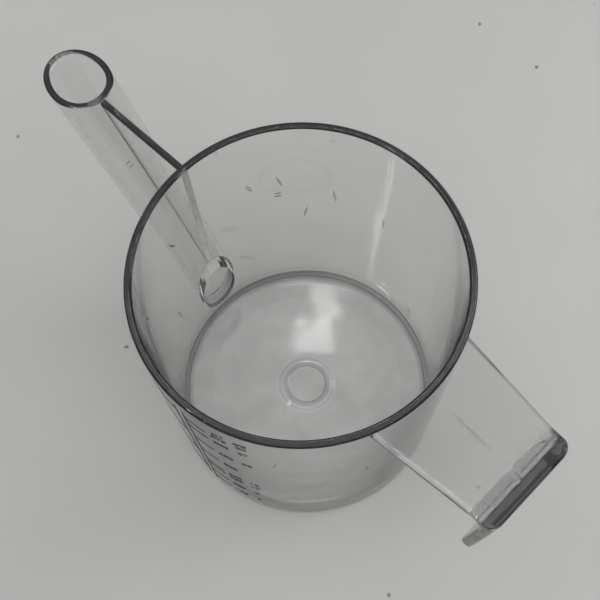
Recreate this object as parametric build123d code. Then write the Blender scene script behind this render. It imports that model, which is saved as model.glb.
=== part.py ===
from build123d import *
import os
from math import cos, pi, radians, sin, tan

# A clear one-litre measuring jug: a drafted cup, a slanted pouring tube that drains it from just above
# the floor, the web that ties the tube to the cup, a turned-down handle, and the printed scale.
# Millimetres. +Z up, origin on the cup's axis at the table, handle towards +X, spout towards -X,
# printed scale towards -Y.

# ---- cup ----
rim_radius = 57.0            # outside of the wall at the rim
cup_height = 120.0
wall = 2.7
outer_draft = 1.35           # degrees, the wall leans outwards going up
inner_draft = 1.7            # the wall thickens towards the floor
floor_thickness = 3.0
base_round = 2.5             # outside edge at the table
floor_fillet = 3.0           # inside corner between wall and floor
rim_round = 0.9
boss_foot_radius = 12.2      # gate boss in the middle of the floor: a low ring round a shallow dish
boss_ring_radius = 10.2
boss_dish_radius = 8.3
boss_height = 0.8
boss_dish_height = 0.3

# ---- spout ----
spout_slant = 33.2           # degrees from vertical
mouth_reach = 111.4          # mouth centre from the cup's axis
mouth_drop = 4.5             # mouth plane below the rim
tube_radius = 11.5           # outside, at the mouth
tube_draft = 1.1             # degrees, both surfaces narrow towards the cup
bore_radius = 9.1            # at the mouth
bore_draft = 0.7
tube_run = 128.0             # length along the axis before the cup trims it
tube_overrun = 20.0          # spare length above the mouth before the level cut

# ---- web between spout and cup ----
web_thickness = 2.6
web_top_drop = 0.8           # top edge below the rim, at the cup
web_bottom = 30.0            # the blank reaches down past the point where tube and wall meet

# ---- handle ----
handle_reach = 98.4          # outermost face from the cup's axis
taper_end = 90.0             # the plate narrows from the wall to here
handle_root_drop = 0.8       # top face below the rim, at the wall
handle_end_drop = 3.4        # top face below the rim, at the bend
plate_thickness = 3.0
plate_root_half_width = 22.9
grip_half_width = 18.5
grip_thickness = 4.2
grip_drop = 43.3
grip_inset = 3.3             # the grip leans back towards the cup by this much at its end
bend_outer_round = 1.5
bend_inner_round = 6.5
corner_round = 4.0           # outer corners seen from above
grip_corner_round = 5.0      # lower corners seen along X

# ---- printed scale ----
cubic_mm_per_ml = 1000.0
ink = 0.08                   # film thickness
millilitre_marks = (100, 200, 300, 350, 500, 650, 800, 875)
ounce_marks = {875: 30, 800: 27, 650: 22, 350: 12, 300: 10, 200: 7, 100: 3}
litre_eighths = (1, 3, 5, 7)
litre = 1000.0
spine_angles = (-87.0, -90.5)        # degrees round the cup from the handle
spine_width = 0.6
spine_bottom = 9.0
spine_top = 110.0
mark_width = 0.7
right_mark_end = -78.0
left_mark_end = -104.0
millilitre_text_angle = -73.0
ounce_text_angle = -65.0
litre_text_angle = -108.5
heading_angles = {"ml": -72.5, "oz": -65.0}
heading_lift = 3.6           # heading baseline above the top mark
text_height = 2.3
heading_height = 2.8
text_aspect = 0.58
text_gap = 0.45              # between letters, as a share of their width
text_stroke = 0.42
heading_stroke = 0.6

# One polyline or more per sign, in a cell that runs from 0 to 1 both ways.
SIGNS = {
    "0": [[(0.3, 0), (0.7, 0), (1, 0.2), (1, 0.8), (0.7, 1), (0.3, 1), (0, 0.8), (0, 0.2), (0.3, 0)]],
    "1": [[(0.2, 0.8), (0.55, 1), (0.55, 0)]],
    "2": [[(0, 0.8), (0.3, 1), (0.7, 1), (1, 0.8), (1, 0.6), (0, 0), (1, 0)]],
    "3": [[(0, 0.9), (0.3, 1), (0.7, 1), (1, 0.8), (0.6, 0.52), (1, 0.25), (0.7, 0), (0.3, 0), (0, 0.1)]],
    "4": [[(0.75, 0), (0.75, 1), (0, 0.3), (1, 0.3)]],
    "5": [[(0.95, 1), (0.1, 1), (0.05, 0.55), (0.65, 0.6), (1, 0.3), (0.7, 0), (0.3, 0), (0, 0.1)]],
    "6": [[(0.9, 1), (0.3, 0.8), (0, 0.3), (0.3, 0), (0.7, 0), (1, 0.3), (0.7, 0.58), (0.2, 0.5)]],
    "7": [[(0, 1), (1, 1), (0.35, 0)]],
    "8": [[(0.5, 0.53), (0.05, 0.75), (0.5, 1), (0.95, 0.75), (0.5, 0.53)],
          [(0.5, 0.53), (0, 0.27), (0.5, 0), (1, 0.27), (0.5, 0.53)]],
    "/": [[(0.1, -0.1), (0.9, 1.1)]],
    "m": [[(0, 0), (0, 0.65), (0.5, 0.55), (0.5, 0)], [(0.5, 0.55), (1, 0.6), (1, 0)]],
    "l": [[(0.5, 0), (0.5, 1)]],
    "o": [[(0.3, 0), (0.7, 0), (1, 0.2), (1, 0.45), (0.7, 0.65), (0.3, 0.65), (0, 0.45), (0, 0.2), (0.3, 0)]],
    "z": [[(0, 0.65), (1, 0.65), (0, 0), (1, 0)]],
}


def outer_radius(z):
    return rim_radius - (cup_height - z) * tan(radians(outer_draft))


def inner_radius(z):
    return rim_radius - wall - (cup_height - z) * tan(radians(inner_draft))


def rounded(face, corner, radius):
    """Fillet the one vertex of a flat face that lies nearest to the given corner."""
    nearest = min(face.vertices(), key=lambda vertex: (Vector(vertex) - Vector(corner)).length)
    return fillet(nearest, radius)


def side_face(points):
    """A face in the XZ plane through (x, z) points."""
    corners = [(x, 0, z) for x, z in points]
    return make_face(Polyline(*corners, close=True).edges())


def turned(profile):
    return revolve(profile, Axis.Z, 360)


def cup_blank():
    """The cup's outside shape, filled solid."""
    corners = [(0, 0), (outer_radius(0), 0), (rim_radius, cup_height), (0, cup_height)]
    return turned(side_face(corners))


def tube_cone(radius, draft, above):
    """A cone along the spout's axis, with the given radius at the mouth's centre."""
    slope = tan(radians(draft))
    mouth = Vector(-mouth_reach, 0, cup_height - mouth_drop)
    along = Vector(-sin(radians(spout_slant)), 0, cos(radians(spout_slant)))
    start = Plane(origin=mouth - along * tube_run, z_dir=along)
    cone = Cone(radius - slope * tube_run, radius + slope * above, tube_run + above,
                align=(Align.CENTER, Align.CENTER, Align.MIN))
    return start * cone


def make_cup_body(bore):
    base = (outer_radius(0), 0)
    rim_outer = (rim_radius, cup_height)
    rim_inner = (rim_radius - wall, cup_height)
    floor_edge = (inner_radius(floor_thickness), floor_thickness)
    boss = [(boss_foot_radius, floor_thickness),
            (boss_ring_radius, floor_thickness + boss_height),
            (boss_dish_radius, floor_thickness + boss_height),
            (boss_dish_radius - boss_height, floor_thickness + boss_dish_height),
            (0, floor_thickness + boss_dish_height)]
    face = side_face([(0, 0), base, rim_outer, rim_inner, floor_edge] + boss)
    for corner, radius in ((base, base_round), (rim_outer, rim_round), (rim_inner, rim_round),
                           (floor_edge, floor_fillet)):
        face = rounded(face, (corner[0], 0, corner[1]), radius)
    return turned(face) - bore


def make_spout_tube(blank, bore):
    outside = tube_cone(tube_radius, tube_draft, tube_overrun)
    size = 2 * tube_run
    above_mouth = Pos(-mouth_reach, 0, cup_height - mouth_drop) * Box(
        size, size, size, align=(Align.CENTER, Align.CENTER, Align.MIN))
    return outside - above_mouth - blank - bore


def make_spout_web(blank):
    tube = tube_cone(tube_radius, tube_draft, tube_overrun)
    mouth_z = cup_height - mouth_drop
    corners = [(-rim_radius + 2 * wall, cup_height - web_top_drop), (-mouth_reach, mouth_z),
               (-outer_radius(web_bottom) + 2 * wall, web_bottom)]
    plate = extrude(side_face(corners), web_thickness / 2, dir=(0, 1, 0), both=True)
    pieces = (plate - tube - blank).solids()
    return max(pieces, key=lambda piece: piece.volume)


def make_handle(blank):
    root = rim_radius - 3 * wall
    end_z = cup_height - handle_end_drop
    tip_z = end_z - grip_drop
    outer_bend = (handle_reach, end_z)
    inner_bend = (handle_reach - grip_thickness, end_z - plate_thickness)
    tip_outer = (handle_reach - grip_inset, tip_z)
    tip_inner = (handle_reach - grip_inset - grip_thickness, tip_z)
    root_z = cup_height - handle_root_drop
    face = side_face([(root, root_z), outer_bend, tip_outer, tip_inner, inner_bend,
                      (root, root_z - plate_thickness)])
    for corner, radius in ((outer_bend, bend_outer_round), (inner_bend, bend_inner_round)):
        face = rounded(face, (corner[0], 0, corner[1]), radius)
    bent = extrude(face, plate_root_half_width + wall, dir=(0, 1, 0), both=True)
    plan = make_face(Polyline((root, plate_root_half_width), (taper_end, grip_half_width),
                              (handle_reach, grip_half_width), (handle_reach, -grip_half_width),
                              (taper_end, -grip_half_width), (root, -plate_root_half_width),
                              close=True).edges())
    for side in (1, -1):
        plan = rounded(plan, (handle_reach, side * grip_half_width, 0), corner_round)
    bent = bent & extrude(plan, cup_height)
    mask = Plane.YZ * Pos(0, tip_z + cup_height / 2) * RectangleRounded(
        2 * grip_half_width, cup_height, grip_corner_round)
    grip_zone = Pos(taper_end, 0, end_z - plate_thickness) * Box(
        handle_reach, 3 * plate_root_half_width, cup_height, align=(Align.MIN, Align.CENTER, Align.MAX))
    bent = bent - (grip_zone - extrude(mask, 2 * handle_reach))
    return bent - blank


def stroke(start, end, width):
    """A round-ended stroke between two flat points."""
    middle = (Vector(*start) + Vector(*end)) * 0.5
    run = Vector(*end) - Vector(*start)
    angle = Vector(1, 0, 0).get_signed_angle(run, Vector(0, 0, 1))
    return Pos(middle.X, middle.Y) * Rot(0, 0, angle) * SlotCenterToCenter(run.length, width)


def written(text, height, width):
    """The text as one flat shape, centred left to right, with its baseline at zero."""
    cell = height * text_aspect
    pitch = cell * (1 + text_gap)
    left = -(len(text) * pitch - cell * text_gap) / 2
    strokes = []
    for place, sign in enumerate(text):
        for line in SIGNS[sign]:
            points = [(left + place * pitch + x * cell, y * height) for x, y in line]
            strokes += [stroke(a, b, width) for a, b in zip(points, points[1:])]
    return Sketch() + strokes


def wall_plane(angle, z):
    """A plane that faces the wall from outside at this angle, with X to the reader's right."""
    out = Vector(cos(radians(angle)), sin(radians(angle)), 0)
    right = Vector(-sin(radians(angle)), cos(radians(angle)), 0)
    return Plane(origin=out * (rim_radius + 2 * wall) + Vector(0, 0, z), x_dir=right, z_dir=out)


def ink_band(z_low, z_high, start, end):
    """A patch of the printed film on the wall, between two heights and two angles."""
    corners = [(outer_radius(z_low), z_low), (outer_radius(z_low) + ink, z_low),
               (outer_radius(z_high) + ink, z_high), (outer_radius(z_high), z_high)]
    return Rot(0, 0, min(start, end)) * revolve(side_face(corners), Axis.Z, abs(end - start))


def ink_text(shapes):
    """Flat shapes laid on the wall: each (plane, shape) is cut from a patch of the film round it."""
    pieces = []
    for plane, shape in shapes:
        box = shape.bounding_box()
        angle = Vector(plane.z_dir).get_signed_angle(Vector(1, 0, 0), Vector(0, 0, -1))
        reach = box.size.X / rim_radius * 180 / pi
        low = plane.origin.Z + box.min.Y - 1
        high = plane.origin.Z + box.max.Y + 1
        film = ink_band(low, high, angle - reach, angle + reach)
        pieces += (film & extrude(plane * shape, -5 * wall)).solids()
    return Compound(pieces)


def marks(heights, start, end):
    """A level line at each height, between two angles."""
    half = mark_width / 2
    return Compound([ink_band(z - half, z + half, start, end) for z in heights])


def column(labels, angle):
    """Numerals down the wall at one angle, each centred on its mark: labels are (text, height)."""
    return ink_text([(wall_plane(angle, z - text_height / 2), written(text, text_height, text_stroke))
                     for text, z in labels])


def fill_height(millilitres):
    """Height above the table at which the cup holds this volume, by halving an interval."""
    slope = tan(radians(inner_draft))
    start = inner_radius(floor_thickness)
    low, high = 0.0, cup_height
    while high - low > 0.01:
        depth = (low + high) / 2
        volume = pi * (start ** 2 * depth + start * slope * depth ** 2 + slope ** 2 * depth ** 3 / 3)
        low, high = (depth, high) if volume < millilitres * cubic_mm_per_ml else (low, depth)
    return floor_thickness + low


def save(shape, node):
    shape.label = node
    export_step(shape, f"parts/{node}.step")


def main():
    os.makedirs("parts", exist_ok=True)
    blank = cup_blank()
    bore = tube_cone(bore_radius, bore_draft, tube_overrun)
    save(make_cup_body(bore), "cup_body")
    save(make_spout_tube(blank, bore), "spout_tube")
    save(make_spout_web(blank), "spout_web")
    save(make_handle(blank), "handle")

    right_line, left_line = spine_angles
    line_angle = spine_width / rim_radius * 180 / pi
    save(Compound([ink_band(spine_bottom, spine_top, angle, angle + line_angle)
                   for angle in spine_angles]), "scale_spine")

    heights = {volume: fill_height(volume) for volume in millilitre_marks}
    eighth_heights = {eighth: fill_height(eighth * litre / 8) for eighth in litre_eighths}
    save(marks(heights.values(), right_line + line_angle, right_mark_end), "millilitre_marks")
    save(marks(eighth_heights.values(), left_line, left_mark_end), "litre_marks")
    save(column([(str(volume), z) for volume, z in heights.items()], millilitre_text_angle),
         "millilitre_numerals")
    save(column([(str(ounces), heights[volume]) for volume, ounces in ounce_marks.items()],
                ounce_text_angle), "ounce_numerals")
    save(column([(f"{eighth}/8", z) for eighth, z in eighth_heights.items()], litre_text_angle),
         "litre_numerals")
    heading_z = max(heights.values()) + heading_lift
    save(ink_text([(wall_plane(angle, heading_z), written(text, heading_height, heading_stroke))
                   for text, angle in heading_angles.items()]), "scale_heading")


main()
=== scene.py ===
from math import cos, pi, radians, sin, tan

import bmesh
import bpy
import numpy as np
from mathutils import Matrix, Vector


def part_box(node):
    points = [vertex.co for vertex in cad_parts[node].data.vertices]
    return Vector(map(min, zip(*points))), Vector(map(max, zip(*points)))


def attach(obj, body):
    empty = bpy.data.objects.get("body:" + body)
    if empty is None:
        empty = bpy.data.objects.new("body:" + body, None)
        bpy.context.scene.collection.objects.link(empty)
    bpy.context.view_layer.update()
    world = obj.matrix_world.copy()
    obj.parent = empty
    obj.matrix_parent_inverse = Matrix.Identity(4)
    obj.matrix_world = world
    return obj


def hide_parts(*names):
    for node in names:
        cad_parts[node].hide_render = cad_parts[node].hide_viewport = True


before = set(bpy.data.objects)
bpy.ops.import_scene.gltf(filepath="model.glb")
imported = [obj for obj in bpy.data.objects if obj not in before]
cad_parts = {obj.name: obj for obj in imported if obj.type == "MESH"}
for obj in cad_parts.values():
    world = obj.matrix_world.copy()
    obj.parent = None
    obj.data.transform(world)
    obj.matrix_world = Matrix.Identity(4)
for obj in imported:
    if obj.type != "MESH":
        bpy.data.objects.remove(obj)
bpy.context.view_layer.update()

# A clear measuring jug. Metres. +Z up, cup on the Z axis, handle towards +X, spout towards -X, scale towards -Y.
mm = 0.001
cup_top_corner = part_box("cup_body")[1]

# ---- cup ----
rim_radius = cup_top_corner.x
cup_height = cup_top_corner.z
wall = 2.7 * mm
outer_slope = tan(radians(1.35))
inner_slope = tan(radians(1.7))
floor_top = 3.0 * mm
base_round = 2.5 * mm
floor_round = 3.0 * mm
rim_round = 0.9 * mm
boss_foot, boss_edge = 12.2 * mm, 10.2 * mm      # radii of the gate boss, at the floor and at its top
dish_edge, dish_foot = 8.3 * mm, 7.5 * mm        # radii of the shallow dish in the boss, at its top and at its floor
boss_rise, dish_rise = 0.8 * mm, 0.3 * mm        # heights over the cup's floor: the boss's top, the dish's floor

# ---- spout ----
slant = radians(33.2)
mouth = np.array((-111.4 * mm, 0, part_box("spout_tube")[1].z))
tube_radius, tube_slope = 11.5 * mm, tan(radians(1.1))
bore_radius, bore_slope = 9.1 * mm, tan(radians(0.7))
tube_foot_flare = 0.5 * mm    # how far the tube's outside spreads where it lands on the cup
ridge_height = 0.12 * mm      # the parting line that stands on the tube
web_thickness = 2.6 * mm
joint = -0.02 * mm            # the spout and handle sink this far into the wall, so that no two faces share a place

# ---- handle ----
handle_reach = 98.4 * mm      # where the plate's top and the grip's outside would meet, before the bend is rounded
grip_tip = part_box("handle")[0].z
taper_end = 90 * mm
plate_top_root = cup_height - 0.8 * mm
plate_top_end = cup_height - 3.4 * mm
plate_thickness = 3.0 * mm
grip_thickness = 4.2 * mm
grip_lean = 3.3 * mm
root_half_width = 22.9 * mm
root_plan_x = rim_radius - 3 * wall
grip_half_width = 18.5 * mm
bend_outer, bend_inner = 1.5 * mm, 6.5 * mm
plan_round = 4.0 * mm
grip_round = 5.0 * mm
long_edge_round = 1.45 * mm
grip_end_round = 1.9 * mm
groove_depth = 0.55 * mm      # the weld groove in the inside of the bend
groove_half_width = 1.1 * mm

# ---- grids ----
around = 320                  # columns round the cup
port_columns = 28             # columns and rows of the patch round the drain port
port_rows = 28
outside_window = (8 * mm, 50 * mm)       # heights between which the patch lies on the cup's outside
inside_window_top = 48 * mm              # its highest point on the inside
inside_window_depth = 9 * mm             # how far it reaches over the floor
port_level = 20 * mm                     # a height near the port's middle, whose radius lays the wall out flat there

# ---- plastic ----
clear_tint = (0.992, 0.992, 0.985)
scratch_grey = (0.05, 0.05, 0.05)
# painted shade: the grey laid in the corner where the cup's floor meets its wall
corner_shade_grey = (0.55, 0.55, 0.545)
# painted shade: the near black laid on the spout's level lip
lip_shade_grey = (0.06, 0.06, 0.06)
floor_milk = 0.66             # how much of the light the floor's plastic scatters, at the most


def outer_wall(z):
    """Radius of the cup's outside at a height: a cone that narrows downwards."""
    return rim_radius - (cup_height - z) * outer_slope


def inner_wall(z):
    """Radius of the cup's inside at a height: a slightly steeper cone, so that the wall is thicker at the foot."""
    return rim_radius - wall - (cup_height - z) * inner_slope


def fillet(before, corner, after, radius, count):
    """Points on the arc of this radius that touches both straight runs of a flat corner."""
    before, corner, after = (np.array(p, float) for p in (before, corner, after))
    u = (before - corner) / np.linalg.norm(before - corner)
    w = (after - corner) / np.linalg.norm(after - corner)
    half = np.arccos(np.clip(u @ w, -1, 1)) / 2
    middle = (u + w) / np.linalg.norm(u + w)
    centre = corner + middle * radius / sin(half)
    turn = np.linspace(-1, 1, count) * (pi / 2 - half)
    side = u - (u @ middle) * middle
    side = side / np.linalg.norm(side)
    return centre + radius * (-np.cos(turn)[:, None] * middle - np.sin(turn)[:, None] * side)


def held(count, length):
    """Shares from 0 to 1 with one more very near each end, so that a flat run stays flat beside a rounded edge."""
    near = min(0.04 * mm / length, 0.2)
    return np.concatenate(([0, near], np.linspace(0, 1, count + 2)[1:-1], [1 - near, 1]))


def run(start, end, count):
    """Points along a straight run, without its two ends."""
    start, end = np.array(start), np.array(end)
    share = held(count, np.linalg.norm(end - start))[1:-1, None]
    return start * (1 - share) + end * share


def swept_faces(rows, columns, closed=False, keep=None):
    """Quads of a grid of rows by columns, numbered row by row. keep is a mask of the cells to make."""
    wide = columns if closed else columns - 1
    r, c = np.meshgrid(np.arange(rows - 1), np.arange(wide), indexing="ij")
    across = (c + 1) % columns
    quads = np.stack((r * columns + c, r * columns + across, (r + 1) * columns + across, (r + 1) * columns + c), -1)
    return quads[keep] if keep is not None else quads.reshape(-1, 4)


def skin(name, patches, sharp=35.0, weld=1e-6):
    """One closed mesh out of grid patches, each (points of shape rows x columns x 3, closed, keep)."""
    points, quads, count = [], [], 0
    for grid, closed, keep in patches:
        rows, columns = grid.shape[:2]
        points.append(grid.reshape(-1, 3))
        quads.append(swept_faces(rows, columns, closed, keep) + count)
        count += rows * columns
    points, quads = np.concatenate(points), np.concatenate(quads)
    mesh = bpy.data.meshes.new(name)
    mesh.vertices.add(len(points))
    mesh.vertices.foreach_set("co", points.astype(np.float32).ravel())
    mesh.loops.add(quads.size)
    mesh.loops.foreach_set("vertex_index", quads.astype(np.int32).ravel())
    mesh.polygons.add(len(quads))
    mesh.polygons.foreach_set("loop_start", (np.arange(len(quads)) * 4).astype(np.int32))
    mesh.update(calc_edges=True)
    work = bmesh.new()
    work.from_mesh(mesh)
    bmesh.ops.remove_doubles(work, verts=work.verts, dist=weld)
    bmesh.ops.dissolve_degenerate(work, edges=work.edges, dist=weld / 4)
    bmesh.ops.recalc_face_normals(work, faces=work.faces)
    work.to_mesh(mesh)
    work.free()
    mesh.shade_smooth()
    mesh.set_sharp_from_angle(angle=radians(sharp))
    piece = bpy.data.objects.new(name, mesh)
    bpy.context.scene.collection.objects.link(piece)
    return piece


# ---------------------------------------------------------------- spout geometry

along = np.array((-sin(slant), 0, cos(slant)))
outward = np.array((-cos(slant), 0, -sin(slant)))
crosswise = np.array((0, 1.0, 0))


def cone_point(radius, slope, run_s, turn):
    """Point on a cone round the spout's axis: mouth + s along it, at the radius there, turned from the outward side."""
    reach = (radius + slope * run_s)[..., None]
    direction = np.cos(turn)[..., None] * outward + np.sin(turn)[..., None] * crosswise
    return mouth + run_s[..., None] * along + reach * direction


def level_cut(radius, slope, turn):
    """Where the cone meets the level plane through the mouth: the s at which its height is the mouth's."""
    drop = np.cos(turn) * outward[2]
    return -radius * drop / (along[2] + slope * drop)


def wall_cut(radius, slope, turn, wall_radius):
    """Where the cone meets the cup's wall: the s at which distance from the axis is the wall's, by halving."""
    low, high = np.full_like(turn, -0.135), np.full_like(turn, -0.045)
    for _ in range(48):
        middle = (low + high) / 2
        p = cone_point(radius, slope, middle, turn)
        outside = np.hypot(p[..., 0], p[..., 1]) > wall_radius(p[..., 2])
        low, high = np.where(outside, low, middle), np.where(outside, middle, high)
    return (low + high) / 2


def bend_between(a, b, c, count):
    """A rounded corner: the quadratic curve from a to c that leaves and arrives along the runs through b."""
    w = np.linspace(0, 1, count)[:, None, None]
    return (1 - w) ** 2 * a + 2 * w * (1 - w) * b + w ** 2 * c


# ---------------------------------------------------------------- cup

def cup_section():
    """The cup's half section from the middle of its base, up the outside, over the rim and down to the middle of its
    floor: straight runs joined by tangent arcs. Returns its (r, z) rows, the first row of each port patch, and the
    distances along and the points of the inside path, which the inner patch lies on."""
    base, rim_out = (outer_wall(0), 0), (rim_radius, cup_height)
    rim_in, heel = (rim_radius - wall, cup_height), (inner_wall(floor_top), floor_top)
    boss = [(boss_foot, floor_top), (boss_edge, floor_top + boss_rise), (dish_edge, floor_top + boss_rise),
            (dish_foot, floor_top + dish_rise), (0, floor_top + dish_rise)]
    base_arc = fillet((0, 0), base, rim_out, base_round, 10)
    out_arc = fillet(base, rim_out, rim_in, rim_round, 9)
    in_arc = fillet(rim_out, rim_in, heel, rim_round, 9)
    out_heights = np.linspace(*outside_window, port_rows + 1)
    out_rows = np.stack((outer_wall(out_heights), out_heights), -1)
    heel_arc = fillet(rim_in, heel, boss[0], floor_round, 40)
    path = np.concatenate(([(inner_wall(inside_window_top), inside_window_top)], heel_arc,
                           [(inner_wall(floor_top) - inside_window_depth, floor_top)]))
    length = np.concatenate(([0], np.cumsum(np.linalg.norm(np.diff(path, axis=0), axis=1))))
    in_rows = section_at(np.linspace(0, length[-1], port_rows + 1), length, path)
    rows = [np.array([(0, 0)]), run((0, 0), base_arc[0], 8), base_arc, run(base_arc[-1], out_rows[0], 3), out_rows,
            run(out_rows[-1], out_arc[0], 14), out_arc, run(out_arc[-1], in_arc[0], 1), in_arc,
            run(in_arc[-1], path[0], 14), in_rows]
    first_out = sum(len(part) for part in rows[:4])
    first_in = sum(len(part) for part in rows[:10])
    arcs = [fillet(path[-1], boss[0], boss[1], 0.8 * mm, 5), fillet(boss[0], boss[1], boss[2], 0.15 * mm, 5),
            fillet(boss[1], boss[2], boss[3], 0.12 * mm, 5), fillet(boss[2], boss[3], boss[4], 0.3 * mm, 5)]
    rows += [run(path[-1], arcs[0][0], 8), arcs[0], arcs[1], arcs[2], arcs[3], run(arcs[3][-1], boss[4], 3),
             np.array([boss[4]])]
    return np.concatenate(rows), first_out, first_in, length, path


def section_at(reach, length, path):
    """(r, z) at these distances along the inside path."""
    return np.stack((np.interp(reach, length, path[:, 0]), np.interp(reach, length, path[:, 1])), -1)


def spun(rz, turn):
    """Points at these radii and heights, turned round Z by these angles."""
    radius, height, turn = np.broadcast_arrays(rz[..., 0], rz[..., 1], turn)
    return np.stack((radius * np.cos(turn), radius * np.sin(turn), height), -1)


def window_edge():
    """Column and row offsets of the port patch's edge, once round from the middle of its low side."""
    c, r = port_columns, port_rows
    columns = np.concatenate((np.arange(c // 2, c), np.full(r, c), np.arange(c, 0, -1), np.zeros(r),
                              np.arange(0, c // 2)))
    rows = np.concatenate((np.zeros(c // 2), np.arange(0, r), np.full(c, r), np.arange(r, 0, -1),
                           np.zeros(c // 2)))
    return columns, rows


def cup_body():
    """A turned section with one hole where the spout's bore comes through. Round the hole, both faces of the wall are
    patches whose points go straight, in angle and in distance along the section, from the hole's edge to a window cut
    in the turned grid. The tunnel between them runs on the bore's cone, and its inner edge is a smooth bend."""
    section, first_out, first_in, length, path = cup_section()
    angles = np.arange(around) * 2 * pi / around
    turned = spun(section[:, None], np.broadcast_to(angles, (len(section), around)))
    keep = np.ones((len(section) - 1, around), bool)
    left = around // 2 - port_columns // 2
    for first in (first_out, first_in):
        keep[first:first + port_rows, left:left + port_columns] = False
    columns, rows = window_edge()
    edge_angle = (left + columns) * 2 * pi / around
    share = np.concatenate(([0, 0.006], np.linspace(0, 1, 12)[1:] ** 1.3))[:, None]

    low_z, high_z = section[first_out, 1], section[first_out + port_rows, 1]
    edge_z = low_z + (high_z - low_z) * rows / port_rows
    out_turn = turns_for(edge_angle, edge_z - port_middle(outer_wall))
    out_s = wall_cut(bore_radius, bore_slope, out_turn, outer_wall)
    hole = cone_point(bore_radius, bore_slope, out_s, out_turn)
    hole_angle = np.arctan2(hole[:, 1], hole[:, 0]) % (2 * pi)
    patch_angle = hole_angle * (1 - share) + edge_angle * share
    patch_z = hole[:, 2] * (1 - share) + edge_z * share
    outside = spun(np.stack((outer_wall(patch_z), patch_z), -1), patch_angle)
    outside[0] = hole

    reach = length[-1] * (1 - rows / port_rows)      # the low side of the window is the far end of the path
    hole_reach = lambda z: (path[0, 1] - z) * (1 + inner_slope ** 2) ** 0.5
    in_turn = turns_for(edge_angle, hole_reach(port_middle(inner_wall)) - reach)
    in_s = wall_cut(bore_radius, bore_slope, in_turn, inner_wall)
    sharp = cone_point(bore_radius, bore_slope, in_s, in_turn)
    ramp = port_round(in_turn)
    angle = np.arctan2(sharp[:, 1], sharp[:, 0]) % (2 * pi)
    port_girth = inner_wall(port_level)
    flat = np.stack((angle * port_girth, hole_reach(sharp[:, 2])), -1)
    tangent = np.roll(flat, -1, 0) - np.roll(flat, 1, 0)
    normal = np.stack((tangent[:, 1], -tangent[:, 0]), -1)
    normal /= np.linalg.norm(normal, axis=1)[:, None]
    away = np.sign(((flat - flat.mean(0)) * normal).sum(1))[:, None]
    foot = flat + normal * away * ramp[:, None]
    foot_angle, foot_reach = foot[:, 0] / port_girth, foot[:, 1]
    patch_angle = foot_angle * (1 - share) + edge_angle * share
    patch_reach = foot_reach * (1 - share) + reach * share
    inside = spun(section_at(patch_reach, length, path), patch_angle)
    lip = cone_point(bore_radius, bore_slope, in_s + ramp, in_turn)
    bend = bend_between(inside[0], sharp, lip, 9)
    w = held(6, 5 * mm)[:, None]
    out_near = np.where(abs(out_turn - in_turn) > pi, out_turn + 2 * pi * np.sign(in_turn), out_turn)
    tunnel = cone_point(bore_radius, bore_slope, (in_s + ramp) * (1 - w) + out_s * w,
                        in_turn * (1 - w) + out_near * w)
    return skin("jug_cup", [(turned, True, keep), (outside, True, None), (inside, True, None),
                            (bend, True, None), (tunnel, True, None)])


def port_middle(wall_radius):
    """Height half way between the bore's highest and lowest point on a wall."""
    ends = np.array((0.0, pi))
    return cone_point(bore_radius, bore_slope, wall_cut(bore_radius, bore_slope, ends, wall_radius), ends)[:, 2].mean()


def turns_for(angle, lift):
    """Which turn of the bore faces each point of a window's edge: the slant stretches the hole upwards."""
    return np.arctan2(outer_wall(0) * np.sin(pi - angle), -lift * sin(slant))


def port_round(turn):
    """How far the port's inner edge is eased back: 0.5 mm at its low end, about 1.4 mm at its sides and 1.0 mm at its
    top. That is 0.5 mm, plus 0.8 mm times the sine squared, plus 0.5 mm times the squared haversine, of the turn."""
    return (0.5 + 0.8 * np.sin(turn) ** 2 + 0.5 * ((1 - np.cos(turn)) / 2) ** 2) * mm


# ---------------------------------------------------------------- spout

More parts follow.
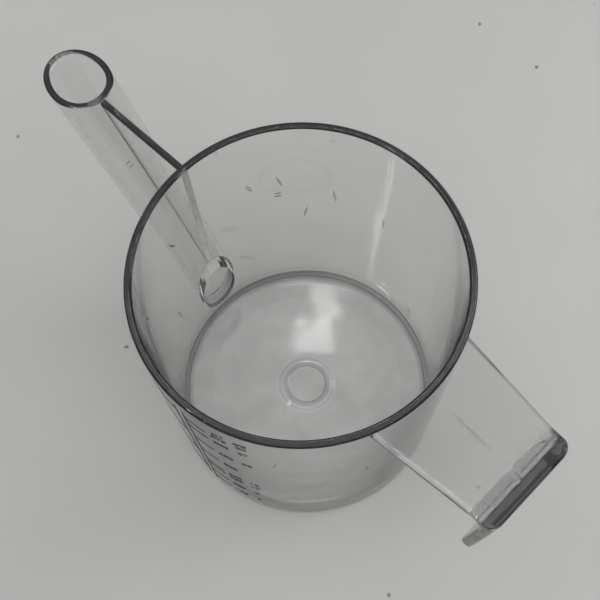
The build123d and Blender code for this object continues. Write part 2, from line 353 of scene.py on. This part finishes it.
def spout_tube():
    """A pipe round the slanted axis. Every line along it goes up the bore's cone, over a level lip with eased edges,
    down the outer cone, and back across the foot, which lies on the cup's wall. The parting ridge is a wedge on the
    outward side, at full height below the lip, that fades out down the tube."""
    columns, ridge_half_turn = 144, 0.026
    beside_ridge = np.array((0.012, ridge_half_turn, 0.05))
    turn = np.sort(np.concatenate((np.arange(columns) * 2 * pi / columns, beside_ridge, 2 * pi - beside_ridge)))
    count = len(turn)
    from_parting = np.minimum(turn, 2 * pi - turn)
    ridge = ridge_height * np.clip(1 - from_parting / ridge_half_turn, 0, 1)
    skin_radius = tube_radius + ridge
    foot_wall = lambda z: outer_wall(z) + joint
    bore_foot = wall_cut(bore_radius, bore_slope, turn, foot_wall)
    skin_foot = wall_cut(tube_radius, tube_slope, turn, foot_wall)
    bore_top = level_cut(bore_radius, bore_slope, turn)
    skin_top = level_cut(skin_radius, tube_slope, turn)
    ease = (1.15 - 0.85 * ((1 - np.cos(turn)) / 2) ** 14) * mm

    def pipe(radius, slope, start, end, rows):
        """Rows of points along a cone, between two distances that differ from turn to turn."""
        w = held(rows, 100 * mm)[:, None]
        return cone_point(radius, slope, start * (1 - w) + end * w, np.broadcast_to(turn, (len(w), count)))

    bore_edge = cone_point(bore_radius, bore_slope, bore_top, turn)
    skin_edge = cone_point(skin_radius, tube_slope, skin_top, turn)
    across = (skin_edge - bore_edge) / np.linalg.norm(skin_edge - bore_edge, axis=1)[:, None]
    up = pipe(bore_radius, bore_slope, bore_foot, bore_top - ease, 40)
    ease_across = ease[:, None] * across
    inner_ease = bend_between(up[-1], bore_edge, bore_edge + ease_across, 9)
    w = held(1, 1.3 * mm)[:, None, None]
    lip = (bore_edge + ease_across) * (1 - w) + (skin_edge - ease_across) * w
    fade = np.clip(1 - held(40, 100 * mm) / 0.4, 0, 1)[:, None]
    down = pipe(tube_radius + ridge * fade, tube_slope, skin_top - ease, skin_foot + tube_foot_flare, 40)
    outer_ease = bend_between(lip[-1], skin_edge, down[0], 9)
    skin_at_foot = cone_point(tube_radius, tube_slope, skin_foot, turn)
    foot_radius = tube_radius + tube_foot_flare
    spread = cone_point(foot_radius, tube_slope, wall_cut(foot_radius, tube_slope, turn, foot_wall), turn)
    flared = bend_between(down[-1], skin_at_foot, spread, 7)
    across_foot = []
    for step in np.linspace(0, 1, 4):
        radius = foot_radius * (1 - step) + bore_radius * step
        slope = tube_slope * (1 - step) + bore_slope * step
        across_foot.append(cone_point(radius, slope, wall_cut(radius, slope, turn, foot_wall), turn))
    return skin("jug_spout_tube", [(up, True, None), (inner_ease, True, None), (lip, True, None),
                                   (outer_ease, True, None), (down, True, None), (flared, True, None),
                                   (np.stack(across_foot), True, None)])


def block(name, place, rows, columns, layers):
    """The outside of a bent block. place(u, t, k) gives points for three parameters, u and t from 0 to 1 and k from
    -1 to 1, and each face of the block is the grid that leaves one of them at its end."""
    u, t, k = rows, columns, layers
    patches = []
    for end in (t[0], t[-1]):
        patches.append(place(*np.meshgrid(u, [end], k, indexing="ij"))[:, 0])
    for end in (k[0], k[-1]):
        patches.append(place(*np.meshgrid(u, t, [end], indexing="ij"))[:, :, 0])
    for end in (u[0], u[-1]):
        patches.append(place(*np.meshgrid([end], t, k, indexing="ij"))[0])
    return skin(name, [(patch, False, None) for patch in patches])


def rounding(distance, radius):
    """How far an edge of this radius draws in at this distance from the face it rounds to."""
    left = np.clip(radius - distance, 0, radius)
    return radius - np.sqrt(np.clip(radius ** 2 - left ** 2, 0, None))


def eased(count, ends, length, radius):
    """Shares from 0 to 1 that are close together within radius of the ends of a run of this length."""
    near = radius / length * (1 - np.cos(np.linspace(0, pi / 2, ends)))
    inside = held(count, length - 2 * radius)[1:-1]
    return np.concatenate((near, near[-1] + inside * (1 - 2 * near[-1]), 1 - near[::-1]))


def spout_web():
    """A plate between the cup's wall and the tube. u goes from wall to tube, t from the top edge down to where they
    meet, k across its thickness. It is thickest where it lands on either, and its top edge is rounded."""
    radius, landing_flare, top_edge = tube_radius, 0.12 * mm, 0.8 * mm
    top_wall = cup_height - 0.8 * mm
    top_s = level_cut(radius, tube_slope, np.array(pi))
    top_tube = mouth + top_s * along - (radius + tube_slope * top_s) * outward
    meet_s = wall_cut(radius, tube_slope, np.array([pi]), outer_wall)[0]
    meet = cone_point(radius, tube_slope, np.array(meet_s), np.array(pi))

    def place(u, t, k):
        """Points of the plate at shares u and t of its face, k half thicknesses from its middle."""
        depth_wall = t * (top_wall - meet[2])
        run_tube = top_s + t * (meet_s - top_s)
        room = abs(top_tube[0] - meet[0]) * (1 - t)
        width = (web_thickness / 2 - rounding(depth_wall, top_edge) + rounding(u * room, landing_flare) +
                 rounding((1 - u) * room, landing_flare))
        y = k * width
        z_wall = top_wall - depth_wall
        x_wall = -np.sqrt((outer_wall(z_wall) + joint) ** 2 - y ** 2)
        reach = radius + tube_slope * run_tube + joint
        side = np.arcsin(y / reach)
        tube = mouth + run_tube[..., None] * along + reach[..., None] * (
            -np.cos(side)[..., None] * outward + np.sin(side)[..., None] * crosswise)
        foot = np.stack((x_wall, y, z_wall), -1)
        return foot * (1 - u[..., None]) + tube * u[..., None]

    width_across, height_down = 40 * mm, 73 * mm
    return block("jug_spout_web", place, eased(30, 6, width_across, landing_flare),
                 eased(60, 8, height_down, top_edge), np.linspace(-1, 1, 7))


# ---------------------------------------------------------------- handle

def handle_outline():
    """The handle's two faces in the XZ plane, as matched rows of (x, z): the top of the plate and the outside of the
    grip, and under them the plate's underside and the inside of the grip."""
    outer_bend = (handle_reach, plate_top_end)
    inner_bend = (handle_reach - grip_thickness, plate_top_end - plate_thickness)
    tip_outer = (handle_reach - grip_lean, grip_tip)
    tip_inner = (handle_reach - grip_lean - grip_thickness, grip_tip)
    root_outer, root_inner = (root_plan_x, plate_top_root), (root_plan_x, plate_top_root - plate_thickness)
    arc_outer = fillet(root_outer, outer_bend, tip_outer, bend_outer, 17)
    arc_inner = fillet(root_inner, inner_bend, tip_inner, bend_inner, 17)
    return root_outer, arc_outer, tip_outer, root_inner, arc_inner, tip_inner


def handle_body():
    """A bent plate. u goes from the cup's wall along the plate, round the bend and down the grip, t through its
    thickness, k across its width. Width follows the plan, which tapers and has round outer corners, and the grip's
    round lower corners; every long edge is eased. The weld groove is a bell-shaped dip across k = 0, in the bend."""
    root_outer, arc_outer, tip_outer, root_inner, arc_inner, tip_inner = handle_outline()
    plate_share = np.linspace(0, 1, 60)
    grip_share = 1 - (1 - np.linspace(0, 1, 60)) ** 1.6
    plate_count, arc_count = len(plate_share), len(arc_outer)
    rows = plate_count + arc_count - 1 + len(grip_share) - 1
    steps = np.arange(rows)

    def face_line(root, arc, tip):
        """One face's (x, z) at every step: a straight run from the root to the arc, the arc, a straight run to the
        tip."""
        plate = np.array(root) * (1 - plate_share[:, None]) + arc[0] * plate_share[:, None]
        grip = arc[-1] * (1 - grip_share[1:, None]) + np.array(tip) * grip_share[1:, None]
        return np.concatenate((plate, arc[1:], grip))

    outer_line = face_line(root_outer, arc_outer, tip_outer)
    inner_line = face_line(root_inner, arc_inner, tip_inner)

    def point_on(line, u):
        """(x, z) on a face at u, straight between its steps."""
        step = u * (rows - 1)
        return np.stack((np.interp(step, steps, line[:, 0]), np.interp(step, steps, line[:, 1])), -1)

    def place(u, t, k):
        """Points of the plate. How wide it is depends on x, and where it starts at the cup's wall depends on y, so
        the two are worked out in turn until they settle."""
        outer, inner = point_on(outer_line, u), point_on(inner_line, u)
        thick = np.linalg.norm(inner - outer, axis=-1)
        to_grip_end = np.where(u > 0.5, np.abs(outer[..., 1] - grip_tip), 1.0)
        shrink = rounding(to_grip_end, grip_end_round) / thick
        share = (shrink + t * (1 - 2 * shrink))[..., None]
        line = outer * (1 - share) + inner * share
        along_plate = np.clip(u * (rows - 1) / (plate_count - 1), 0, 1)
        depth = np.minimum(t, 1 - t) * thick
        y = k * grip_half_width
        for _ in range(6):
            start = np.sqrt((outer_wall(line[..., 1]) + joint) ** 2 - y ** 2)
            on_plate = start * (1 - along_plate) + line_end(t, arc_outer, arc_inner) * along_plate
            x = np.where(along_plate < 1, on_plate, line[..., 0])
            taper = np.clip((x - root_plan_x) / (taper_end - root_plan_x), 0, 1)
            width = root_half_width * (1 - taper) + grip_half_width * taper
            plan = rounding(handle_reach - x, plan_round)
            corner = np.where(u > 0.5, rounding(line[..., 1] - grip_tip, grip_round), 0)
            width = width - np.hypot(plan, corner) - rounding(depth, long_edge_round)
            y = k * width
        bend_share = (u * (rows - 1) - plate_count + 1) / (arc_count - 1)
        near_bend = np.exp(-((bend_share - 0.5) / 0.75) ** 2)
        groove = groove_depth * np.exp(-(y / groove_half_width) ** 2) * near_bend * t / thick
        sunk = outer * groove[..., None] + np.stack((x, line[..., 1]), -1) * (1 - groove[..., None])
        return np.stack((sunk[..., 0], y, sunk[..., 1]), -1)

    middle, side_columns, middle_columns = 0.2, 21, 31
    columns = np.concatenate((np.linspace(-1, -middle, side_columns),
                              np.linspace(-middle, middle, middle_columns)[1:-1],
                              np.linspace(middle, 1, side_columns)))
    return block("jug_handle", place, np.linspace(0, 1, rows), eased(6, 7, plate_thickness, long_edge_round), columns)


def line_end(t, arc_outer, arc_inner):
    """Where the straight plate ends, between its top and its underside."""
    return arc_outer[0, 0] * (1 - t) + arc_inner[0, 0] * t


# ---------------------------------------------------------------- materials

def shader(name, roughness, base, **sockets):
    """A material with one Principled shader; returns it with its tree and that node."""
    material = bpy.data.materials.new(name)
    material.use_nodes = True
    tree = material.node_tree
    principled = tree.nodes["Principled BSDF"]
    principled.inputs["Base Color"].default_value = (*base, 1)
    principled.inputs["Roughness"].default_value = roughness
    for socket, value in sockets.items():
        principled.inputs[socket.replace("_", " ")].default_value = value
    return material, tree, principled


def node(tree, kind, inputs=None, **settings):
    """A new node with these settings. Each input is a value, or another node's output to link."""
    made = tree.nodes.new(kind)
    for key, value in settings.items():
        setattr(made, key, value)
    for key, value in (inputs or {}).items():
        if isinstance(value, bpy.types.NodeSocket):
            tree.links.new(value, made.inputs[key])
        else:
            made.inputs[key].default_value = value
    return made


def math(tree, operation, a, b=None, clamp=False):
    """The output of a Math node."""
    inputs = {0: a}
    if b is not None:
        inputs[1] = b
    return node(tree, "ShaderNodeMath", inputs, operation=operation, use_clamp=clamp).outputs[0]


def times(tree, a, b):
    """a times b."""
    return math(tree, "MULTIPLY", a, b)


def plus(tree, a, b, clamp=False):
    """a plus b."""
    return math(tree, "ADD", a, b, clamp)


def minus(tree, a, b):
    """a less b."""
    return math(tree, "SUBTRACT", a, b)


def either(tree, a, b):
    """The larger of a and b."""
    return math(tree, "MAXIMUM", a, b)


def vector_math(tree, operation, a, b=None):
    """A Vector Math node."""
    return node(tree, "ShaderNodeVectorMath", {0: a} if b is None else {0: a, 1: b}, operation=operation)


def object_place(tree):
    """Object coordinates."""
    return node(tree, "ShaderNodeTexCoord").outputs["Object"]


def noise(tree, scale, detail):
    """Cloudy noise that lies still on the piece; scale is in clouds a metre."""
    return node(tree, "ShaderNodeTexNoise", {"Vector": object_place(tree), "Scale": scale, "Detail": detail,
                                             "Roughness": 0.5}).outputs["Fac"]


def remap(tree, value, low, high, to_low, to_high):
    """A value carried from one range to another, and held at its ends."""
    return node(tree, "ShaderNodeMapRange", {"Value": value, "From Min": low, "From Max": high, "To Min": to_low,
                                             "To Max": to_high}).outputs["Result"]


def mixed(tree, share, first, second):
    """One colour fading to another."""
    ends = [(*end, 1) if isinstance(end, tuple) else end for end in (first, second)]
    return node(tree, "ShaderNodeMix", {"Factor": share, 6: ends[0], 7: ends[1]}, data_type="RGBA").outputs[2]


def parted(tree, vector):
    """The three parts of a vector."""
    made = node(tree, "ShaderNodeSeparateXYZ", {0: vector})
    return made.outputs["X"], made.outputs["Y"], made.outputs["Z"]


def joined(tree, x, y):
    """A flat vector from its two parts."""
    return node(tree, "ShaderNodeCombineXYZ", {0: x, 1: y}).outputs[0]


def band(tree, value, middle, half, soft):
    """1 where the value is within half of the middle, fading to 0 over the soft part."""
    return remap(tree, math(tree, "ABSOLUTE", minus(tree, value, middle)), half - soft, half + soft, 1.0, 0.0)


def laid_flat(tree, place, kind):
    """Two coordinates that lie along a piece's skin: round and up the cup's wall, where marks are stretched upwards,
    and across its floor; along and across the bent handle; or across and up for the spout."""
    x, y, z = parted(tree, place)
    if kind == "cup":
        turn = times(tree, math(tree, "ARCTAN2", y, x), rim_radius)
        on_wall = math(tree, "GREATER_THAN", z, floor_top + 2 * mm)
        upright = joined(tree, turn, times(tree, z, 0.4))
        flat = node(tree, "ShaderNodeMix", {"Factor": on_wall, 4: place, 5: upright}, data_type="VECTOR")
        return flat.outputs[1]
    if kind == "handle":
        return joined(tree, minus(tree, x, z), y)
    return joined(tree, y, z)


def scratches(tree, flat, size, share, half_length):
    """Short straight scratches: one line at a random slope in some cells of a grain of this size. A point is on the
    line where its distance aside is small: by Pythagoras, from its distance to the cell's point and its distance
    along the slope."""
    cells = node(tree, "ShaderNodeTexVoronoi", {"Vector": flat, "Scale": 1 / size, "Randomness": 1.0}, feature="F1",
                 voronoi_dimensions="2D")
    red, green, blue = parted(tree, cells.outputs["Color"])
    slope = vector_math(tree, "NORMALIZE", joined(tree, minus(tree, green, 0.5), minus(tree, blue, 0.5))).outputs[0]
    x, y, _ = parted(tree, vector_math(tree, "SUBTRACT", flat, cells.outputs["Position"]).outputs[0])
    offset = joined(tree, x, y)
    lengthwise = vector_math(tree, "DOT_PRODUCT", offset, slope).outputs["Value"]
    far_squared = vector_math(tree, "DOT_PRODUCT", offset, offset).outputs["Value"]
    aside_squared = either(tree, minus(tree, far_squared, times(tree, lengthwise, lengthwise)), 0.0)
    thin = remap(tree, math(tree, "SQRT", aside_squared), 0.11 * mm, 0.17 * mm, 1.0, 0.0)
    short = remap(tree, math(tree, "ABSOLUTE", lengthwise), half_length * 0.85, half_length, 1.0, 0.0)
    chosen = math(tree, "LESS_THAN", red, share)
    return times(tree, times(tree, thin, short), chosen)


def cup_finish(tree, x, y, z, cloud, colour, rough, scratch):
    """What the cup's plastic carries: painted shade in its floor's corner and round its boss's dish, a milky floor with
    rings where its boss was gated, fewer scratches on that floor, and a milky port. Returns colour, roughness,
    scratches and milk."""
    radius = vector_math(tree, "LENGTH", joined(tree, x, y)).outputs["Value"]
    inside = math(tree, "LESS_THAN", radius, inner_wall(floor_top) + 0.6 * mm)
    low = times(tree, inside, remap(tree, z, floor_top - 1 * mm, floor_top - 0.5 * mm, 0.0, 1.0))

    # Painted shade: a grey band round the corner where the floor meets the wall, from 0.1 to 3.1 mm over the floor,
    # patchy.
    corner_shade = times(tree, low, band(tree, z, floor_top + 1.6 * mm, 1.5 * mm, 0.15 * mm))
    corner_shade = times(tree, corner_shade, math(tree, "GREATER_THAN", radius, 0.7 * rim_radius))
    corner_shade = times(tree, corner_shade, remap(tree, noise(tree, 120, 2.0), 0.3, 0.7, 0.75, 1.0))
    colour = mixed(tree, corner_shade, colour, corner_shade_grey)

    level = times(tree, low, remap(tree, z, floor_top + 0.9 * mm, floor_top + 1.1 * mm, 1.0, 0.0))
    dulled = remap(tree, noise(tree, 300, 3.0), 0.35, 0.65, 0.0, 0.05)
    rough = plus(tree, rough, times(tree, level, dulled))
    scratch = times(tree, scratch, remap(tree, z, floor_top + 1 * mm, floor_top + 3 * mm, 0.25, 1.0))

    # Painted shade: a darker ring laid round the edge of the boss's shallow dish.
    dish_ring_shade = times(tree, low, band(tree, radius, dish_edge - 0.2 * mm, 0.5 * mm, 0.15 * mm))
    colour = mixed(tree, dish_ring_shade, colour, (0.82, 0.82, 0.81))
    boss_ring = times(tree, low, band(tree, radius, boss_edge + 0.1 * mm, 0.45 * mm, 0.15 * mm))
    foot_ring = times(tree, low, band(tree, radius, boss_foot - 0.1 * mm, 0.3 * mm, 0.15 * mm))
    milky = times(tree, remap(tree, z, floor_top + 0.5 * mm, floor_top + 1.5 * mm, floor_milk, 0.0),
                  remap(tree, cloud, 0.3, 0.75, 0.7, 1.0))
    milky = plus(tree, milky, times(tree, boss_ring, 0.2), clamp=True)
    milky = plus(tree, milky, times(tree, foot_ring, 0.12), clamp=True)

    in_wall = times(tree, math(tree, "GREATER_THAN", radius, inner_wall(floor_top) + 1.1 * mm),
                    math(tree, "LESS_THAN", radius, outer_wall(floor_top) - 0.4 * mm))
    port = times(tree, in_wall, math(tree, "LESS_THAN", x, -0.7 * rim_radius))
    port = times(tree, port, band(tree, z, 18 * mm, 12 * mm, 0.5 * mm))
    milky = plus(tree, milky, times(tree, port, 0.4), clamp=True)
    return colour, rough, scratch, milky


def handle_finish(tree, x, y, z):
    """What the handle's plastic carries: a short weld line on the plate, patchy whitening inside the bend, a painted
    highlight along one long edge, and ripples near the bend. Returns the line, the whitening with the highlight and the
    ripples."""
    weld = times(tree, band(tree, y, 0.3 * mm, 0.12 * mm, 0.05 * mm),
                 band(tree, x, rim_radius + 16 * mm, 6 * mm, 4 * mm))

    under = times(tree, band(tree, z, plate_top_end - 7 * mm, 4.5 * mm, 0.5 * mm),
                  band(tree, x, handle_reach - 8.5 * mm, 4 * mm, 0.8 * mm))
    patchy = remap(tree, noise(tree, 210, 3.0), 0.42, 0.6, 0.12, 0.5)

    half_width = remap(tree, x, root_plan_x, taper_end, root_half_width, grip_half_width)
    # Painted highlight: a whiter band on the top of the plate along one long edge, patchy, stopping short of the bend.
    edge_highlight = times(tree, band(tree, plus(tree, half_width, y), 1.3 * mm, 0.5 * mm, 0.2 * mm),
                 remap(tree, noise(tree, 170, 3.0), 0.35, 0.6, 0.05, 0.3))
    edge_highlight = times(tree, edge_highlight, math(tree, "GREATER_THAN", z, plate_top_end - 1 * mm))
    edge_highlight = times(tree, edge_highlight, remap(tree, x, handle_reach - 12 * mm, handle_reach - 8 * mm, 1.0, 0.0))
    whitening_and_edge_highlight = either(tree, times(tree, under, patchy), edge_highlight)

    near_bend = remap(tree, x, handle_reach - 18 * mm, handle_reach - 8 * mm, 0.0, 1.0)
    ripples = times(tree, near_bend, times(tree, noise(tree, 160, 2.0), 1.1))
    return weld, whitening_and_edge_highlight, ripples


def clear_plastic(name, kind, haze=0.03, scratch_share=0.16, tint=clear_tint, absorbed=12.0, rubbed=0.05,
                  lip_shade_above=None):
    """Clear moulded plastic: faint flow waves, hairline rubs that catch the light, a few short dark scratches, painted
    shade that turns a level lip near black above a given height, and the cup's or the handle's own marks, painted shade
    and painted highlight."""
    material, tree, principled = shader(name, 0.02, tint, Transmission_Weight=1.0, IOR=1.58)
    place = object_place(tree)
    x, y, z = parted(tree, place)
    flat = laid_flat(tree, place, kind)
    scratch = either(tree, scratches(tree, flat, 11 * mm, scratch_share, 1.4 * mm),
                     times(tree, scratches(tree, flat, 23 * mm, 2 * scratch_share, 4.5 * mm), 0.35))
    fine = vector_math(tree, "MULTIPLY", flat, (1.0, 0.05, 1.0)).outputs[0]
    rub = node(tree, "ShaderNodeTexNoise", {"Vector": fine, "Scale": 420, "Detail": 1.0}).outputs["Fac"]
    rub = remap(tree, rub, 0.66, 0.74, 0.0, 1.0)
    cloud = noise(tree, 55, 3.0)
    rough = plus(tree, remap(tree, cloud, 0.3, 0.7, haze * 0.5, haze * 1.5), times(tree, rub, rubbed))
    colour = mixed(tree, remap(tree, cloud, 0.35, 0.75, 0.0, 1.0), tint, tuple(0.98 * part for part in tint))
    waves = noise(tree, 38, 1.0)
    if lip_shade_above:
        # Painted shade: above this height the lip turns near black, a little unevenly.
        lip_shade = remap(tree, z, lip_shade_above - 0.3 * mm, lip_shade_above - 0.1 * mm, 0.0, 1.0)
        streak = remap(tree, noise(tree, 900, 2.0), 0.35, 0.65, 0.8, 1.0)
        colour = mixed(tree, times(tree, lip_shade, streak), colour, lip_shade_grey)
    milk_whitening_and_highlight = None
    if kind == "cup":
        colour, rough, scratch, milk_whitening_and_highlight = cup_finish(tree, x, y, z, cloud, colour, rough, scratch)
    if kind == "handle":
        weld, milk_whitening_and_highlight, ripples = handle_finish(tree, x, y, z)
        scratch = either(tree, scratch, times(tree, weld, 0.8))
        waves = plus(tree, waves, ripples)
    # Milk makes the plastic scatter: the cup's milky floor, rings and port, and the handle's whitening with its painted
    # edge highlight.
    if milk_whitening_and_highlight is not None:
        tree.links.new(minus(tree, 1.0, milk_whitening_and_highlight), principled.inputs["Transmission Weight"])
    rough = plus(tree, rough, times(tree, scratch, 0.4), clamp=True)
    tree.links.new(rough, principled.inputs["Roughness"])
    tree.links.new(mixed(tree, scratch, colour, scratch_grey), principled.inputs["Base Color"])
    depth = node(tree, "ShaderNodeVolumeAbsorption", {"Color": (0.5, 0.505, 0.5, 1), "Density": 2 * absorbed})
    tree.links.new(depth.outputs[0], tree.nodes["Material Output"].inputs["Volume"])
    height = plus(tree, waves, times(tree, rub, -0.08 * rubbed))
    bump = node(tree, "ShaderNodeBump", {"Height": height, "Strength": 0.12, "Distance": 0.25 * mm})
    tree.links.new(bump.outputs[0], principled.inputs["Normal"])
    return material


def scale_ink():
    """Screen-printed ink: near black, a little uneven in depth, worn thin in specks."""
    material, tree, principled = shader("printed_ink", 0.55, (0.03, 0.03, 0.032))
    uneven = remap(tree, noise(tree, 900, 3.0), 0.35, 0.7, 0.0, 1.0)
    tree.links.new(mixed(tree, uneven, (0.012, 0.012, 0.013), (0.05, 0.05, 0.052)), principled.inputs["Base Color"])
    tree.links.new(remap(tree, noise(tree, 400, 2.0), 0.3, 0.7, 0.42, 0.68), principled.inputs["Roughness"])
    bump = node(tree, "ShaderNodeBump", {"Height": noise(tree, 2500, 2.0), "Strength": 0.3, "Distance": 0.01 * mm})
    tree.links.new(bump.outputs[0], principled.inputs["Normal"])
    return material


def table_top():
    """A pale, matt table with a faint mottle and scattered dark specks."""
    material, tree, principled = shader("table", 0.75, (0.6, 0.6, 0.58))
    mottle = remap(tree, noise(tree, 9, 4.0), 0.3, 0.7, 0.0, 1.0)
    pale = mixed(tree, mottle, (0.575, 0.575, 0.56), (0.615, 0.615, 0.6))
    speck_grey, speck_share = (0.2, 0.2, 0.195), 0.22
    specks = node(tree, "ShaderNodeTexVoronoi", {"Vector": object_place(tree), "Scale": 26.0, "Randomness": 1.0},
                  feature="F1", voronoi_dimensions="2D")
    red, green, _ = parted(tree, specks.outputs["Color"])
    near = plus(tree, specks.outputs["Distance"], remap(tree, noise(tree, 700, 2.0), 0.3, 0.7, -0.012, 0.012))
    dot = times(tree, remap(tree, near, 0.014, 0.03, 1.0, 0.0), math(tree, "LESS_THAN", red, speck_share))
    tree.links.new(mixed(tree, times(tree, dot, green), pale, speck_grey), principled.inputs["Base Color"])
    return material


# ---------------------------------------------------------------- camera, light, floor

def add_camera():
    """A camera that looks steeply down into the cup from the front right, rolled a little."""
    azimuth, elevation, roll = radians(48.2), radians(67.93), radians(-3.63)
    distance, leftwards, downwards = 336.8 * mm, 0.53 * mm, 8.18 * mm
    back = Vector((sin(azimuth) * cos(elevation), -cos(azimuth) * cos(elevation), sin(elevation)))
    right = Vector((cos(azimuth), sin(azimuth), 0))
    up = back.cross(right)
    place = Vector((0, 0, cup_height)) + back * distance - right * leftwards - up * downwards
    x_axis = cos(roll) * right + sin(roll) * up
    y_axis = -sin(roll) * right + cos(roll) * up
    data = bpy.data.cameras.new("camera")
    data.lens, data.sensor_width = 63, 36
    data.clip_start = 0.01
    camera = bpy.data.objects.new("camera", data)
    camera.matrix_world = Matrix((
        (x_axis.x, y_axis.x, back.x, place.x), (x_axis.y, y_axis.y, back.y, place.y),
        (x_axis.z, y_axis.z, back.z, place.z), (0, 0, 0, 1)))
    bpy.context.scene.collection.objects.link(camera)
    bpy.context.scene.camera = camera


def add_lamp(name, place, target, size, power, lean=0, gleam_only=False):
    """A rectangular soft lamp that faces the target, leaning sideways by some degrees. A gleam-only lamp shows in
    gloss and through clear plastic, and casts no light on matt surfaces."""
    data = bpy.data.lights.new(name, "AREA")
    data.shape, (data.size, data.size_y), data.energy = "RECTANGLE", size, power
    lamp = bpy.data.objects.new(name, data)
    lamp.location = place
    facing = (Vector(target) - Vector(place)).to_track_quat("-Z", "Y").to_matrix()
    lamp.rotation_euler = (facing @ Matrix.Rotation(radians(lean), 3, "Z")).to_euler()
    lamp.visible_diffuse = not gleam_only
    bpy.context.scene.collection.objects.link(lamp)


def add_room():
    """Light from all round that is white overhead, mid grey a third of the way up, and dark from the horizon down."""
    world = bpy.data.worlds.new("room")
    bpy.context.scene.world = world
    world.use_nodes = True
    tree = world.node_tree
    direction = node(tree, "ShaderNodeTexCoord").outputs["Generated"]
    height = node(tree, "ShaderNodeSeparateXYZ", {0: direction}).outputs["Z"]
    ramp = node(tree, "ShaderNodeValToRGB", {"Fac": remap(tree, height, -1, 1, 0, 1)})
    stops = ramp.color_ramp.elements
    stops[0].position, stops[0].color = 0.5, (0.10, 0.10, 0.10, 1)
    stops[1].position, stops[1].color = 1.0, (1.01, 1.01, 1.01, 1)
    middle = stops.new(0.75)
    middle.color = (0.40, 0.40, 0.40, 1)
    back = tree.nodes["Background"]
    tree.links.new(ramp.outputs[0], back.inputs["Color"])
    back.inputs["Strength"].default_value = 1.0


def add_table():
    """One flat face under the jug, 12 m out each way, a hair below its base."""
    reach, low = 12.0, -0.1 * mm
    corners = [(-reach, -reach, low), (reach, -reach, low), (reach, reach, low), (-reach, reach, low)]
    mesh = bpy.data.meshes.new("table")
    mesh.from_pydata(corners, [], [(0, 1, 2, 3)])
    table = bpy.data.objects.new("table", mesh)
    table.data.materials.append(table_top())
    bpy.context.scene.collection.objects.link(table)


add_camera()
add_room()
add_table()
add_lamp("ceiling_window", (-0.537, 0.520, 1.9), (0, 0, 0), (0.11, 0.09), 0.23, gleam_only=True)
add_lamp("ceiling_window_side", (-0.577, 0.615, 1.9), (0, 0, 0), (0.07, 0.10), 0.15, lean=20, gleam_only=True)
add_lamp("strip_light", (-0.285, -0.95, 1.70), (0, 0, 0), (0.032, 0.34), 5.0, lean=-33, gleam_only=True)
add_lamp("low_strip_light", (-0.331, -0.984, 1.674), (0, 0, 0), (0.04, 0.13), 4.5, lean=-27, gleam_only=True)
add_lamp("key_softbox", (0.55, -0.28, 1.4), (0, 0, 0), (1.1, 1.1), 2.1)
add_lamp("side_softbox", (0.75, 1.05, 0.95), (0, 0, 0), (0.9, 0.6), 4.6)
bpy.context.scene.view_settings.view_transform = "Standard"

cup_plastic = clear_plastic("cup_plastic", "cup")
# The tube, web and handle take greyer tints than the cup: painted shade that darkens each of these pieces as a whole.
tube_plastic = clear_plastic("tube_plastic", "spout", haze=0.04, scratch_share=0.03, tint=(0.935, 0.938, 0.935),
                             rubbed=0.01, lip_shade_above=mouth[2])
web_plastic = clear_plastic("web_plastic", "spout", haze=0.04, scratch_share=0.03, tint=(0.95, 0.953, 0.95),
                            rubbed=0.01)
handle_plastic = clear_plastic("handle_plastic", "handle", scratch_share=0.08, tint=(0.91, 0.913, 0.91),
                               absorbed=42.0)
for make, cad_node, plastic in ((cup_body, "cup_body", cup_plastic), (spout_tube, "spout_tube", tube_plastic),
                                (spout_web, "spout_web", web_plastic), (handle_body, "handle", handle_plastic)):
    piece = make()
    piece.data.materials.append(plastic)
    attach(piece, "root")
    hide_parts(cad_node)

ink = scale_ink()
for name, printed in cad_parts.items():
    if name not in ("cup_body", "spout_tube", "spout_web", "handle"):
        for place in printed.material_slots:
            place.material = ink
